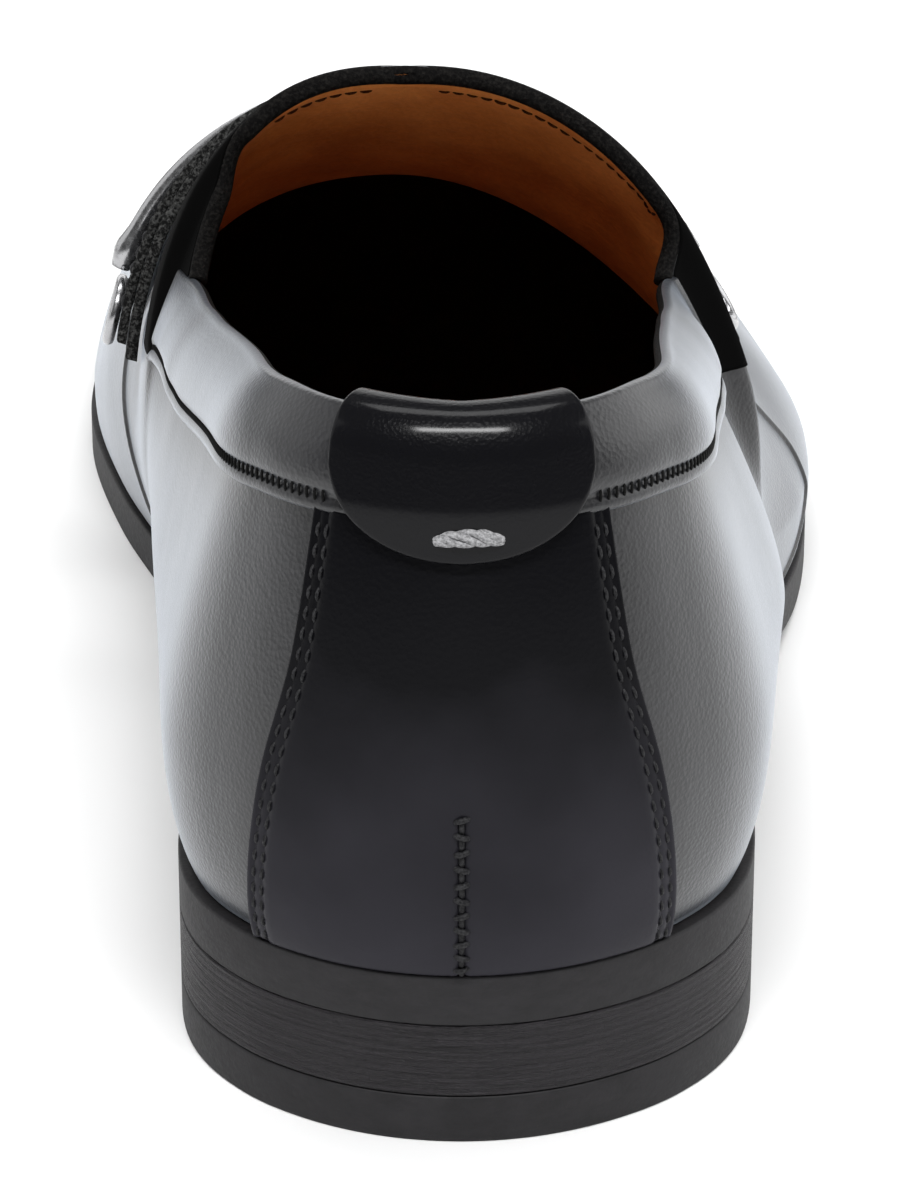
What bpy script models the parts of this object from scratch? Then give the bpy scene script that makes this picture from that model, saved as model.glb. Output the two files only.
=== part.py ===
"""Bit loafer, right shoe: black leather slip-on with a stacked heel and a metal bit.

Metres, +Z up, +Y to the toe, -X to the inner side of the foot. The origin is the
middle of the heel's tread on the floor. Every curved piece is taken from one last
surface: ribs that fan round the heel, cross the foot, and fan round the toe.
"""

import math
from collections import namedtuple

import bmesh
import bpy
from mathutils import Vector

# Named sizes.
LENGTH = 0.300
BALL_WIDTH = 0.109
HEEL_WIDTH = 0.068
BACK_HEIGHT = 0.089
TOP_LIFT = 0.0059
HEEL_STACK = 0.0092
OUTSOLE = 0.0064
HEEL_HEIGHT = TOP_LIFT + HEEL_STACK
BREAST_ROW = 4
BREAST_HOLLOW = 0.004
WALL = 0.0022
INSOLE = 0.003
PANEL = 0.0012
BAND = 0.0015
TAB = 0.0013
TAB_WIDTH = 0.030
TAB_DROP = 0.0146
TAB_ROUND = 0.0105
TAB_INSIDE = 0.009
TAB_OVER = 0.0009
STRAP_BASE = 0.0016
STRAP_TOP = 0.0013
STRAP_WIDTH = 0.0195
STRAP_SETBACK = 0.0065
BAND_END = 0.06
STRAP_LOW_OUTER = 0.511 * BACK_HEIGHT
STRAP_LOW_INNER = 0.522 * BACK_HEIGHT
BIT_WIRE = 0.0012
RING_RADIUS = 0.0052
RING_SAG = 0.0012
RING_MIDDLE = 0.575 * BACK_HEIGHT

# Named clearances.
GAP = 0.00035
SEAT_INSET = 0.0014
INSOLE_GAP = 0.0006
EDGE_ROUND = 0.0006

# The last's spine, a row per rib from the heel's back to the toe. steps: facets up to
# the next rib. aim: way the rib faces in plan, -90 back, 0 to the side, 90 to the toe.
# seat: place of the spine, share of LENGTH from the back. swing: its sideways place,
# share of BALL_WIDTH. crown, top: heights of the rib's own summit and of the topline;
# band: depth of the collar band; all three are shares of BACK_HEIGHT.
Spine = namedtuple("Spine", "steps aim seat swing crown top band")
SPINE = [
    Spine(2, -90, 0.113, 0.000, 1.854, 0.973, 0.127),
    Spine(2, -60, 0.113, 0.000, 1.685, 0.972, 0.127),
    Spine(2, -30, 0.113, 0.000, 1.483, 0.958, 0.132),
    Spine(3, 0, 0.123, -0.002, 1.348, 0.918, 0.137),
    Spine(2, 0, 0.240, -0.017, 1.236, 0.810, 0.141),
    Spine(2, 0, 0.293, -0.023, 1.124, 0.767, 0.135),
    Spine(6, 0, 0.367, -0.048, 1.060, 0.720, 0.127),
    Spine(3, 0, 0.403, -0.066, 1.012, 0.725, 0.162),
    Spine(2, 0, 0.500, -0.078, 0.770, 0.720, 0.162),
    Spine(2, 0, 0.593, -0.106, 0.680, 0.720, 0.162),
    Spine(2, 4, 0.683, -0.124, 0.602, 0.720, 0.162),
    Spine(2, 15, 0.753, -0.133, 0.560, 0.720, 0.162),
    Spine(2, 30, 0.800, -0.133, 0.533, 0.720, 0.162),
    Spine(2, 48, 0.833, -0.128, 0.515, 0.720, 0.162),
    Spine(2, 68, 0.850, -0.119, 0.506, 0.720, 0.162),
    Spine(0, 90, 0.857, -0.110, 0.502, 0.720, 0.162),
]
THROAT = (6, 7)
TOE_FALL = 0.17

# One wall per side, a row per rib. reach: spine to the sole's edge, share of
# BALL_WIDTH. swell: how far the wall stands out past its seat, same share. belly:
# height of the widest place over the seat, rise: straight part over it, both shares
# of BACK_HEIGHT. full: how far the shoulder is carried in, share of the widest reach.
Wall = namedtuple("Wall", "reach swell belly rise full")
OUTER = [
    Wall(0.312, 0.036, 0.230, 0.270, 0.38),
    Wall(0.312, 0.033, 0.230, 0.247, 0.30),
    Wall(0.317, 0.023, 0.185, 0.225, 0.29),
    Wall(0.328, 0.026, 0.160, 0.202, 0.28),
    Wall(0.346, 0.056, 0.130, 0.135, 0.23),
    Wall(0.367, 0.055, 0.118, 0.146, 0.32),
    Wall(0.421, 0.025, 0.110, 0.100, 0.71),
    Wall(0.456, 0.008, 0.105, 0.005, 0.84),
    Wall(0.525, 0.014, 0.100, 0.060, 0.52),
    Wall(0.580, 0.008, 0.080, 0.085, 0.58),
    Wall(0.592, 0.001, 0.050, 0.045, 0.52),
    Wall(0.554, 0.001, 0.050, 0.050, 0.48),
    Wall(0.490, 0.004, 0.070, 0.070, 0.52),
    Wall(0.425, 0.008, 0.090, 0.080, 0.52),
    Wall(0.396, 0.010, 0.100, 0.080, 0.52),
    Wall(0.394, 0.010, 0.100, 0.080, 0.53),
]
INNER = [
    Wall(0.312, 0.036, 0.230, 0.270, 0.38),
    Wall(0.312, 0.033, 0.230, 0.247, 0.30),
    Wall(0.312, 0.024, 0.185, 0.225, 0.28),
    Wall(0.310, 0.027, 0.165, 0.202, 0.30),
    Wall(0.286, 0.061, 0.160, 0.157, 0.50),
    Wall(0.276, 0.078, 0.180, 0.157, 0.60),
    Wall(0.256, 0.088, 0.235, 0.310, 0.69),
    Wall(0.252, 0.090, 0.280, 0.370, 0.64),
    Wall(0.303, 0.057, 0.270, 0.200, 0.69),
    Wall(0.357, 0.026, 0.170, 0.135, 0.82),
    Wall(0.399, 0.003, 0.070, 0.070, 0.74),
    Wall(0.402, 0.001, 0.060, 0.060, 0.64),
    Wall(0.393, 0.004, 0.080, 0.080, 0.60),
    Wall(0.380, 0.008, 0.090, 0.080, 0.56),
    Wall(0.383, 0.010, 0.100, 0.080, 0.54),
    Wall(0.394, 0.010, 0.100, 0.080, 0.53),
]

# The outsole from the side. along: share of LENGTH from the back. under: height of
# its underside, share of HEEL_HEIGHT. Flat on the floor from 0.54 to 0.72.
Arch = namedtuple("Arch", "along under")
ARCH = [
    Arch(-0.10, 1.00),
    Arch(0.10, 1.00),
    Arch(0.24, 1.00),
    Arch(0.30, 0.82),
    Arch(0.37, 0.53),
    Arch(0.44, 0.22),
    Arch(0.50, 0.05),
    Arch(0.54, 0.00),
    Arch(0.72, 0.00),
    Arch(0.80, 0.09),
    Arch(0.88, 0.27),
    Arch(0.95, 0.52),
    Arch(1.00, 0.73),
    Arch(1.10, 1.10),
]

# The back panel. share: height between its low and its top edge. spread: how far it
# reaches round the heel to each side, in degrees.
Panel = namedtuple("Panel", "share spread")
PANEL_ROWS = [
    Panel(0.00, 44.5),
    Panel(0.20, 41.3),
    Panel(0.45, 37.0),
    Panel(0.70, 32.2),
    Panel(0.88, 31.0),
    Panel(1.00, 30.5),
]

STRAP_REAR = SPINE[THROAT[1]].seat * LENGTH - HEEL_WIDTH / 2.0 + STRAP_SETBACK
STRAP_FACE = 3.0 * GAP + STRAP_BASE + STRAP_TOP

MATERIALS = {
    "upper": ((0.012, 0.012, 0.014), 0.32, 0.0),
    "panel": ((0.006, 0.006, 0.008), 0.18, 0.0),
    "sole": ((0.028, 0.026, 0.029), 0.60, 0.0),
    "lift": ((0.022, 0.021, 0.023), 0.65, 0.0),
    "lining": ((0.35, 0.13, 0.035), 0.55, 0.0),
    "metal": ((0.62, 0.62, 0.64), 0.25, 1.0),
}


def level_slope(a, b):
    """Slope at a point between two steps that never lets the curve swing past it."""
    return 0.0 if a * b <= 0.0 else 2.0 * a * b / (a + b)


def even_slope(a, b):
    return (a + b) / 2.0


def blend(places, values, x, mean_slope=level_slope):
    """Smooth curve through the points."""
    last = len(places) - 2
    i = 0
    while i < last and places[i + 1] <= x:
        i += 1
    steps = []
    for k in range(last + 1):
        steps.append((values[k + 1] - values[k]) / (places[k + 1] - places[k]))
    start = mean_slope(steps[i - 1], steps[i]) if i > 0 else steps[0]
    end = mean_slope(steps[i], steps[i + 1]) if i < last else steps[last]
    wide = places[i + 1] - places[i]
    t = (x - places[i]) / wide
    lift = values[i + 1] - values[i]
    return (
        values[i]
        + wide * start * t * (1.0 - t) ** 2
        + lift * t * t * (3.0 - 2.0 * t)
        - wide * end * t * t * (1.0 - t)
    )


def column(rows, name, u):
    values = [getattr(row, name) for row in rows]
    return blend(range(len(rows)), values, u, even_slope)


def bezier(a, b, c, d, t):
    s = 1.0 - t
    return a * s**3 + 3.0 * b * s * s * t + 3.0 * c * s * t * t + d * t**3


def along_to_y(along):
    return along * LENGTH - HEEL_WIDTH / 2.0


def underside(y):
    along = (y + HEEL_WIDTH / 2.0) / LENGTH
    return HEEL_HEIGHT * blend([row.along for row in ARCH], [row.under for row in ARCH], along)


def topside(y):
    return underside(y) + OUTSOLE


def edge_point(u, side, inset):
    """Point of the sole's outline in plan, drawn in by inset along its rib."""
    walls = OUTER if side > 0 else INNER
    aim = math.radians(column(SPINE, "aim", u))
    reach = column(walls, "reach", u) * BALL_WIDTH - inset
    x = column(SPINE, "swing", u) * BALL_WIDTH + side * reach * math.cos(aim)
    return x, along_to_y(column(SPINE, "seat", u)) + reach * math.sin(aim)


def wall_point(u, side, v):
    """Point of the last's face: v 0 at the seat, 1 at the widest place, 2 at the crown."""
    walls = OUTER if side > 0 else INNER
    aim = math.radians(column(SPINE, "aim", u))
    foot = column(walls, "reach", u) * BALL_WIDTH - SEAT_INSET
    wide = foot + column(walls, "swell", u) * BALL_WIDTH
    low = topside(edge_point(u, side, SEAT_INSET)[1]) + GAP
    belly = low + column(walls, "belly", u) * BACK_HEIGHT
    if v < 1.0:
        reach = bezier(foot, foot + 0.75 * (wide - foot), wide, wide, v)
        z = bezier(low, low + 0.25 * (belly - low), low + 0.65 * (belly - low), belly, v)
    else:
        crown = column(SPINE, "crown", u) * BACK_HEIGHT
        rise = belly + column(walls, "rise", u) * BACK_HEIGHT
        shoulder = wide * column(walls, "full", u)
        fall = TOE_FALL * shoulder * max(0.0, math.sin(aim))
        reach = bezier(wide, wide, shoulder, 0.0, v - 1.0)
        z = bezier(belly, rise, crown - fall, crown, v - 1.0)
    x = column(SPINE, "swing", u) * BALL_WIDTH + side * reach * math.cos(aim)
    return Vector((x, along_to_y(column(SPINE, "seat", u)) + reach * math.sin(aim), z))


def level(u, side, z):
    """The v at which a rib passes the height z."""
    low, high = 0.0, 2.0
    for _ in range(24):
        middle = (low + high) / 2.0
        if wall_point(u, side, middle).z < z:
            low = middle
        else:
            high = middle
    return (low + high) / 2.0


def off_wall(u, side, v, out):
    """Point at the distance out from the last's face, square to it."""
    step = 0.02
    v = min(v, 2.0 - step / 4.0) if u > THROAT[1] - step else v
    ahead = wall_point(min(u + step, len(SPINE) - 1.0), side, v)
    back = wall_point(max(u - step, 0.0), side, v)
    over = wall_point(u, side, min(v + step, 2.0)) - wall_point(u, side, max(v - step, 0.0))
    way = (ahead - back).cross(over).normalized()
    if way.dot(outward(u, side)) < 0.0:
        way = -way
    return wall_point(u, side, v) + way * out


def outward(u, side):
    aim = math.radians(column(SPINE, "aim", u))
    return Vector((side * math.cos(aim), math.sin(aim), 0.3))


def topline(u, side):
    """The v of the upper's free edge: the collar's height, then up across the throat."""
    start, end = THROAT
    if u >= end:
        return 2.0
    v = level(u, side, column(SPINE, "top", u) * BACK_HEIGHT)
    if u <= start:
        return v
    share = (u - start) / (end - start)
    share = 1.0 - (1.0 - share**1.5) ** 0.85
    return v + (2.0 - v) * share


def stations(first, last):
    """The rib places from one row to another, as many facets as the rows ask for."""
    places = []
    for i in range(first, last):
        steps = SPINE[i].steps
        places += [i + k / steps for k in range(steps)]
    return places + [float(last)]


def mix(a, b, t):
    return a + (b - a) * t


def spaced(a, b, count):
    return [mix(a, b, k / count) for k in range(count + 1)]


def rib_at(y):
    """The u of the straight rib whose spine stands at y."""
    low, high = 3.0, 10.0
    for _ in range(24):
        middle = (low + high) / 2.0
        if along_to_y(column(SPINE, "seat", middle)) < y:
            low = middle
        else:
            high = middle
    return (low + high) / 2.0


def make(name, verts, faces, material, smooth=True):
    """One named object of the shoe, closed up where points meet, normals outwards."""
    mesh = bpy.data.meshes.new(name)
    mesh.from_pydata([tuple(p) for p in verts], [], faces)
    work = bmesh.new()
    work.from_mesh(mesh)
    bmesh.ops.remove_doubles(work, verts=work.verts, dist=0.000002)
    bmesh.ops.dissolve_degenerate(work, edges=work.edges, dist=0.000001)
    bmesh.ops.recalc_face_normals(work, faces=work.faces)
    work.to_mesh(mesh)
    work.free()
    obj = bpy.data.objects.new(name, mesh)
    shoe.objects.link(obj)
    for face in mesh.polygons:
        face.use_smooth = smooth
    colour, roughness, metallic = MATERIALS[material]
    skin = bpy.data.materials.new(name)
    skin.use_nodes = True
    shader = skin.node_tree.nodes["Principled BSDF"]
    shader.inputs["Base Color"].default_value = (*colour, 1.0)
    shader.inputs["Roughness"].default_value = roughness
    shader.inputs["Metallic"].default_value = metallic
    mesh.materials.append(skin)
    return obj


def grid_faces(rows, cols, closed=False):
    faces = []
    for i in range(rows - 1):
        for j in range(cols if closed else cols - 1):
            k = (j + 1) % cols
            faces.append((i * cols + j, i * cols + k, (i + 1) * cols + k, (i + 1) * cols + j))
    return faces


def sheet(name, rows, thick, material, ring=False, flip=False):
    """Open grid of points given thickness inwards, or outwards when flipped."""
    verts = [point for row in rows for point in row]
    faces = grid_faces(len(rows), len(rows[0]))
    if ring:
        count = len(rows[0])
        last = (len(rows) - 1) * count
        faces += [(last + j, last + j + 1, j + 1, j) for j in range(count - 1)]
    obj = make(name, verts, faces, material)
    mesh = obj.data
    middle = sum((face.center for face in mesh.polygons), Vector()) / len(mesh.polygons)
    out = sum((face.center - middle).dot(face.normal) * face.area for face in mesh.polygons)
    shell = obj.modifiers.new("thickness", "SOLIDIFY")
    shell.thickness = thick
    shell.offset = -1.0 if (out > 0.0) != flip else 1.0
    shell.use_even_offset = True
    shell.use_quality_normals = True
    return obj


def both_sides(places, inset):
    """The sole's outline in plan, from the back: the outer side and the inner side."""
    outer = [edge_point(u, 1, inset) for u in places]
    inner = [edge_point(u, -1, inset) for u in places]
    return outer, inner


def slab(name, places, levels, material):
    """Solid between level loops round the whole foot; a level is an inset and a height rule."""
    verts = []
    for inset, height in levels:
        outer, inner = both_sides(places, inset)
        plan = outer + inner[-2:0:-1]
        verts += [Vector((x, y, height(y))) for x, y in plan]
    count = len(verts) // len(levels)
    faces = grid_faces(len(levels), count, closed=True)
    top = (len(levels) - 1) * count
    for base in (0, top):
        last = len(places) - 1
        faces.append((base, base + 1, base + count - 1))
        for i in range(1, last - 1):
            faces.append((base + i, base + i + 1, base + count - i - 1, base + count - i))
        faces.append((base + last - 1, base + last, base + last + 1))
    return make(name, verts, faces, material, smooth=False)


def heel_block(name, low, high):
    """One layer of the heel: the sole's outline from the back to a hollow breast."""
    breast = along_to_y(SPINE[BREAST_ROW].seat)
    places = stations(0, BREAST_ROW)
    verts = []
    levels = [
        (EDGE_ROUND, low),
        (0.0, low + EDGE_ROUND),
        (0.0, high - EDGE_ROUND),
        (EDGE_ROUND, high),
    ]
    for inset, z in levels:
        outer, inner = both_sides(places, inset)
        plan = outer
        for t in (0.25, 0.5, 0.75):
            x = mix(outer[-1][0], inner[-1][0], t)
            plan = plan + [(x, breast - BREAST_HOLLOW * 4.0 * t * (1.0 - t))]
        plan = plan + inner[:0:-1]
        verts += [Vector((x, y, z)) for x, y in plan]
    count = len(verts) // len(levels)
    faces = grid_faces(len(levels), count, closed=True)
    faces.append(tuple(range(count)))
    faces.append(tuple(range(3 * count, 4 * count)))
    return make(name, verts, faces, "lift", smooth=False)


def build_upper():
    places = stations(0, len(SPINE) - 1)
    sides = [(u, 1) for u in places] + [(u, -1) for u in places[-2:0:-1]]
    rows = []
    for u, side in sides:
        top = topline(u, side)
        vs = spaced(0.0, 1.0, 3) + spaced(1.0, top, 8)[1:]
        rows.append([wall_point(u, side, v) for v in vs])
    return sheet("upper", rows, WALL, "upper", ring=True)


def round_heel(first, last, count):
    """Places from one rib on the inner side round the back to one on the outer side."""
    return [(abs(s), 1 if s >= 0.0 else -1) for s in spaced(first, last, count)]


def build_back_panel():
    rows = []
    low = HEEL_HEIGHT + OUTSOLE + 0.0012
    shares = [row.share for row in PANEL_ROWS]
    for t in spaced(0.0, 1.0, 9):
        spread = blend(shares, [row.spread for row in PANEL_ROWS], t) / 30.0
        row = []
        for u, side in round_heel(-spread, spread, 14):
            high = (column(SPINE, "top", u) - column(SPINE, "band", u)) * BACK_HEIGHT - GAP
            v = level(u, side, mix(low, high, t))
            row.append(off_wall(u, side, v, GAP + PANEL))
        rows.append(row)
    return sheet("back_counter", rows, PANEL, "panel")


def band_edges(u, side):
    """The v of the collar band's lower and upper edge."""
    top = column(SPINE, "top", u) * BACK_HEIGHT
    low = top - column(SPINE, "band", u) * BACK_HEIGHT
    return level(u, side, low), level(u, side, top)


def build_collar_band():
    end = THROAT[1] - BAND_END
    rows = []
    for u, side in round_heel(-end, end, 66):
        low, top = band_edges(u, side)
        rows.append([off_wall(u, side, v, GAP + BAND) for v in spaced(low, top, 3)])
    return sheet("collar_band", rows, BAND, "upper")


def build_heel_tab():
    """Tab folded over the collar: round end outside, straight end inside."""
    spread = TAB_WIDTH / 2.0 / (HEEL_WIDTH / 2.0)
    out = 3.0 * GAP + BAND
    inside = -(WALL + GAP)
    half = (out - inside) / 2.0
    low = column(SPINE, "top", 0.0) * BACK_HEIGHT - TAB_DROP
    rows = []
    for c in spaced(-1.0, 1.0, 12):
        u = abs(c) * math.degrees(spread) / 30.0
        side = 1 if c >= 0.0 else -1
        top = column(SPINE, "top", u) * BACK_HEIGHT
        foot = low + TAB_ROUND * (1.0 - max(0.0, 1.0 - abs(c) ** 2.3) ** 0.5)
        row = []
        for z in spaced(foot, top, 6):
            row.append(off_wall(u, side, level(u, side, z), out))
        rim = wall_point(u, side, level(u, side, top))
        aim = math.radians(column(SPINE, "aim", u))
        way = Vector((side * math.cos(aim), math.sin(aim), 0.0))
        for k in range(1, 6):
            turn = math.pi * k / 6.0
            reach = (out + inside) / 2.0 + half * math.cos(turn)
            row.append(rim + way * reach + Vector((0.0, 0.0, TAB_OVER * math.sin(turn))))
        for z in spaced(top, top - TAB_INSIDE, 3):
            row.append(off_wall(u, side, level(u, side, z), inside))
        rows.append(row)
    return sheet("heel_tab", rows, TAB, "panel", flip=True)


def over_instep(y, low_outer, low_inner, count):
    """Places on one rib from a height on the inner side, over, to one on the outer side."""
    u = rib_at(y)
    start = level(u, -1, low_inner)
    end = 4.0 - level(u, 1, low_outer)
    places = []
    for s in spaced(start, end, count):
        places.append((u, -1, s) if s < 2.0 else (u, 1, 4.0 - s))
    return places


def build_strap(name, out, thick, trim):
    rear = STRAP_REAR + trim
    rows = []
    for y in spaced(rear, rear + STRAP_WIDTH - 2.0 * trim, 4):
        row = []
        for u, side, v in over_instep(y, STRAP_LOW_OUTER + trim, STRAP_LOW_INNER + trim, 26):
            row.append(off_wall(u, side, v, out + thick))
        rows.append(row)
    return sheet(name, rows, thick, "panel")


def tube(name, path, across, radius, material, closed, sides=8):
    """Round wire along a path; across is a direction the path never follows."""
    verts = []
    count = len(path)
    for i, point in enumerate(path):
        if closed:
            way = path[(i + 1) % count] - path[i - 1]
        else:
            way = path[min(i + 1, count - 1)] - path[max(i - 1, 0)]
        side = way.cross(across).normalized()
        lift = side.cross(way).normalized()
        for k in range(sides):
            turn = 2.0 * math.pi * k / sides
            verts.append(point + side * radius * math.cos(turn) + lift * radius * math.sin(turn))
    faces = grid_faces(count, sides, closed=True)
    if closed:
        last = (count - 1) * sides
        faces += [(last + j, last + (j + 1) % sides, (j + 1) % sides, j) for j in range(sides)]
    else:
        faces.append(tuple(range(sides)))
        faces.append(tuple(range((count - 1) * sides, count * sides)))
    return make(name, verts, faces, material)


def ring_path(u, side, z):
    """Ring of the bit lying against the strap: its points, and the v of its highest one."""
    v = level(u, side, z)
    centre = off_wall(u, side, v, STRAP_FACE + GAP + BIT_WIRE + RING_SAG)
    out = (centre - wall_point(u, side, v)).normalized()
    along = Vector((0.0, 1.0, 0.0))
    up = out.cross(along).normalized() * side * -1.0
    path = []
    for k in range(24):
        turn = 2.0 * math.pi * k / 24
        path.append(centre + (up * math.cos(turn) + along * math.sin(turn)) * RING_RADIUS)
    return path, level(u, side, path[0].z)


def build_bit():
    """Bar and both rings, cast in one piece: the rings are joined on to the bar."""
    u = rib_at(STRAP_REAR + STRAP_WIDTH / 2.0)
    inner, low_inner = ring_path(u, -1, RING_MIDDLE)
    outer, low_outer = ring_path(u, 1, RING_MIDDLE)
    path = [inner[0]]
    for s in spaced(low_inner, 4.0 - low_outer, 28)[1:-1]:
        side = -1 if s < 2.0 else 1
        path.append(off_wall(u, side, s if s < 2.0 else 4.0 - s, STRAP_FACE + GAP + BIT_WIRE))
    path.append(outer[0])
    bar = tube("bit", path, Vector((0.0, 1.0, 0.0)), BIT_WIRE, "metal", False)
    for name, ring in (("ring_inner", inner), ("ring_outer", outer)):
        across = (ring[0] - ring[12]).cross(Vector((0.0, 1.0, 0.0)))
        joined = tube(name, ring, across, BIT_WIRE, "metal", True)
        shoe.objects.unlink(joined)
        cutters.objects.link(joined)
        joined.hide_render = True
        joined.display_type = "WIRE"
        union = bar.modifiers.new(name, "BOOLEAN")
        union.operation = "UNION"
        union.solver = "EXACT"
        union.object = joined


for old in list(bpy.data.objects):
    bpy.data.objects.remove(old, do_unlink=True)
shoe = bpy.data.collections.new("bit_loafer")
bpy.context.scene.collection.children.link(shoe)
cutters = bpy.data.collections.new("bit_loafer_cutters")
bpy.context.scene.collection.children.link(cutters)

WHOLE = stations(0, len(SPINE) - 1)
slab(
    "outsole",
    WHOLE,
    [
        (EDGE_ROUND, underside),
        (0.0, lambda y: underside(y) + EDGE_ROUND),
        (0.0, lambda y: topside(y) - EDGE_ROUND),
        (EDGE_ROUND, topside),
    ],
    "sole",
)
heel_block("heel_stack", TOP_LIFT, HEEL_HEIGHT)
heel_block("top_lift", 0.0, TOP_LIFT)
inner_edge = SEAT_INSET + WALL + INSOLE_GAP
slab(
    "insole",
    WHOLE,
    [(inner_edge, lambda y: topside(y) + GAP), (inner_edge, lambda y: topside(y) + GAP + INSOLE)],
    "lining",
)
build_upper()
build_back_panel()
build_collar_band()
build_heel_tab()
build_strap("strap_base", GAP, STRAP_BASE, 0.0)
build_strap("strap_top", 2.0 * GAP + STRAP_BASE, STRAP_TOP, 0.0016)
build_bit()
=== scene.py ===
"""Looks of the bit loafer: fine leather, stitching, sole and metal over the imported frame.

Metres, +Z up, +Y to the toe, -X to the inner side of the foot. Every leather piece is
taken from the same last surface as the solids are, so it lies where they lie.
"""

import functools
import math
from collections import namedtuple

import bmesh
import bpy
from mathutils import Euler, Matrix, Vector


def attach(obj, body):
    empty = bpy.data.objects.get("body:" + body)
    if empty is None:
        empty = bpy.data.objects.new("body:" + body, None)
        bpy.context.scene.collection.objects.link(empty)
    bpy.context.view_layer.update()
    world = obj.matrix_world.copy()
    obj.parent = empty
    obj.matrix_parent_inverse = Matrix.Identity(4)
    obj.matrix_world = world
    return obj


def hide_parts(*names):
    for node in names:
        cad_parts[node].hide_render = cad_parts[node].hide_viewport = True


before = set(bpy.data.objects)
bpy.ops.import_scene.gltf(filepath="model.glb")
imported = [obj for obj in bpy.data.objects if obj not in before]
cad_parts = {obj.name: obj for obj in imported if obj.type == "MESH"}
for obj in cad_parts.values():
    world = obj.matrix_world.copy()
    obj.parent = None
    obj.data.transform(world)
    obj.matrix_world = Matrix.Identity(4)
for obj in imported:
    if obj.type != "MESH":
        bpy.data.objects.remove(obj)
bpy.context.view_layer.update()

ALONG_Y = Vector((0.0, 1.0, 0.0))
UP = Vector((0.0, 0.0, 1.0))

# Named sizes, as the part's source has them.
LENGTH = 0.300
BALL_WIDTH = 0.109
HEEL_WIDTH = 0.068
BACK_HEIGHT = 0.089
TOP_LIFT = 0.0059
HEEL_STACK = 0.0092
OUTSOLE = 0.0064
HEEL_HEIGHT = TOP_LIFT + HEEL_STACK
BREAST_ROW = 4
BREAST_HOLLOW = 0.004
WALL = 0.0022
SEAT_INSET = 0.0014
TOE_FALL = 0.17
THROAT = (6, 7)

# Named sizes of the looks. Pairs are for the inner and the outer side, unless a note says.
LEATHER = 0.0012
RIM_WALL = 0.0012
VAMP_STEP = 0.00045
GROOVE = 0.0003
COLLAR_EDGE = 0.0013
COLLAR_PAD = 0.0021
COLLAR_RIM = 0.0006
COLLAR_INSIDE = 0.0016
COLLAR_OVER = 0.0008
COLLAR_DRAWN_IN = (0.0020, 0.0025)
COLLAR_ROW = 0.0020
COLLAR_PITCH = 0.00115
COLLAR_TICK = 0.0015
COLLAR_ENDS = (6.40, 6.10)
TONGUE_STANDS_OUT = 0.0024
# Half width and half height of the tongue's raw edge.
TONGUE_EDGE = (0.00125, 0.0010)
# Sheet of painted shade by each notch: how far above the strap's low end it starts, and how far it stands
# off the last.
PAINTED_SHADE_OVER = 0.0055
PAINTED_SHADE_LIFT = 0.00022
LINING_ROW = 0.0026
TAB_WIDTH = 0.0308
# The tab's top leans in: over this height, by this much; its fold starts at this angle.
TAB_LEAN = (0.0036, 0.0010)
TAB_TURN = 0.45
TAB_DROP = 0.0146
TAB_ROUND = 0.0105
TAB_LOW_LIFT = 0.0018
TAB_LIFT = 0.0025
TAB_STEP = 0.006
TAB_THICK = 0.0013
# Middle, half length and height of the bar of thread on the tab.
TAB_BAR = (0.0007, 0.0035, 0.0746)
COUNTER_UNDER = 0.0004
# The two sewn rows, in from the counter's edge.
COUNTER_ROWS = (0.00115, 0.0023)
BACK_SEAM_TOP = 0.40
BACK_SEAM_PITCH = 0.0021
STITCH_PITCH = 0.0024
STRAP_REAR = 0.0934
STRAP_WIDTH = 0.0195
STRAP_LOW = (0.0465, 0.0455)
STRAP_UNDER = 0.0016
STRAP_OVER = 0.0013
STRAP_TRIM = 0.0016
WIRE = 0.0012
RING_RADIUS = 0.0042
RING_WIRE = 0.0008
RING_MIDDLE = 0.555 * BACK_HEIGHT
EDGE_ROUND = 0.00035
HEEL_LINES = 10
FLOOR_HALF = 4.0

# Camera of the photo, in the row's frame.
CAMERA_PLACE = (-0.0013, -0.4884, 0.2702)
CAMERA_DOWN = 24.0
CAMERA_LENS = 137.6

# The last's spine, a row per rib from the heel's back to the toe; columns as in the
# part's source.
Spine = namedtuple("Spine", "aim seat swing crown top band")
SPINE = [
    Spine(-90, 0.113, 0.000, 1.854, 0.973, 0.127),
    Spine(-60, 0.113, 0.000, 1.685, 0.972, 0.127),
    Spine(-30, 0.113, 0.000, 1.483, 0.958, 0.132),
    Spine(0, 0.123, -0.002, 1.348, 0.918, 0.137),
    Spine(0, 0.240, -0.017, 1.236, 0.810, 0.141),
    Spine(0, 0.293, -0.023, 1.124, 0.767, 0.135),
    Spine(0, 0.367, -0.048, 1.060, 0.720, 0.127),
    Spine(0, 0.403, -0.066, 1.012, 0.725, 0.162),
    Spine(0, 0.500, -0.078, 0.770, 0.720, 0.162),
    Spine(0, 0.593, -0.106, 0.680, 0.720, 0.162),
    Spine(4, 0.683, -0.124, 0.602, 0.720, 0.162),
    Spine(15, 0.753, -0.133, 0.560, 0.720, 0.162),
    Spine(30, 0.800, -0.133, 0.533, 0.720, 0.162),
    Spine(48, 0.833, -0.128, 0.515, 0.720, 0.162),
    Spine(68, 0.850, -0.119, 0.506, 0.720, 0.162),
    Spine(90, 0.857, -0.110, 0.502, 0.720, 0.162),
]
LAST_ROW = len(SPINE) - 1

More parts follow.
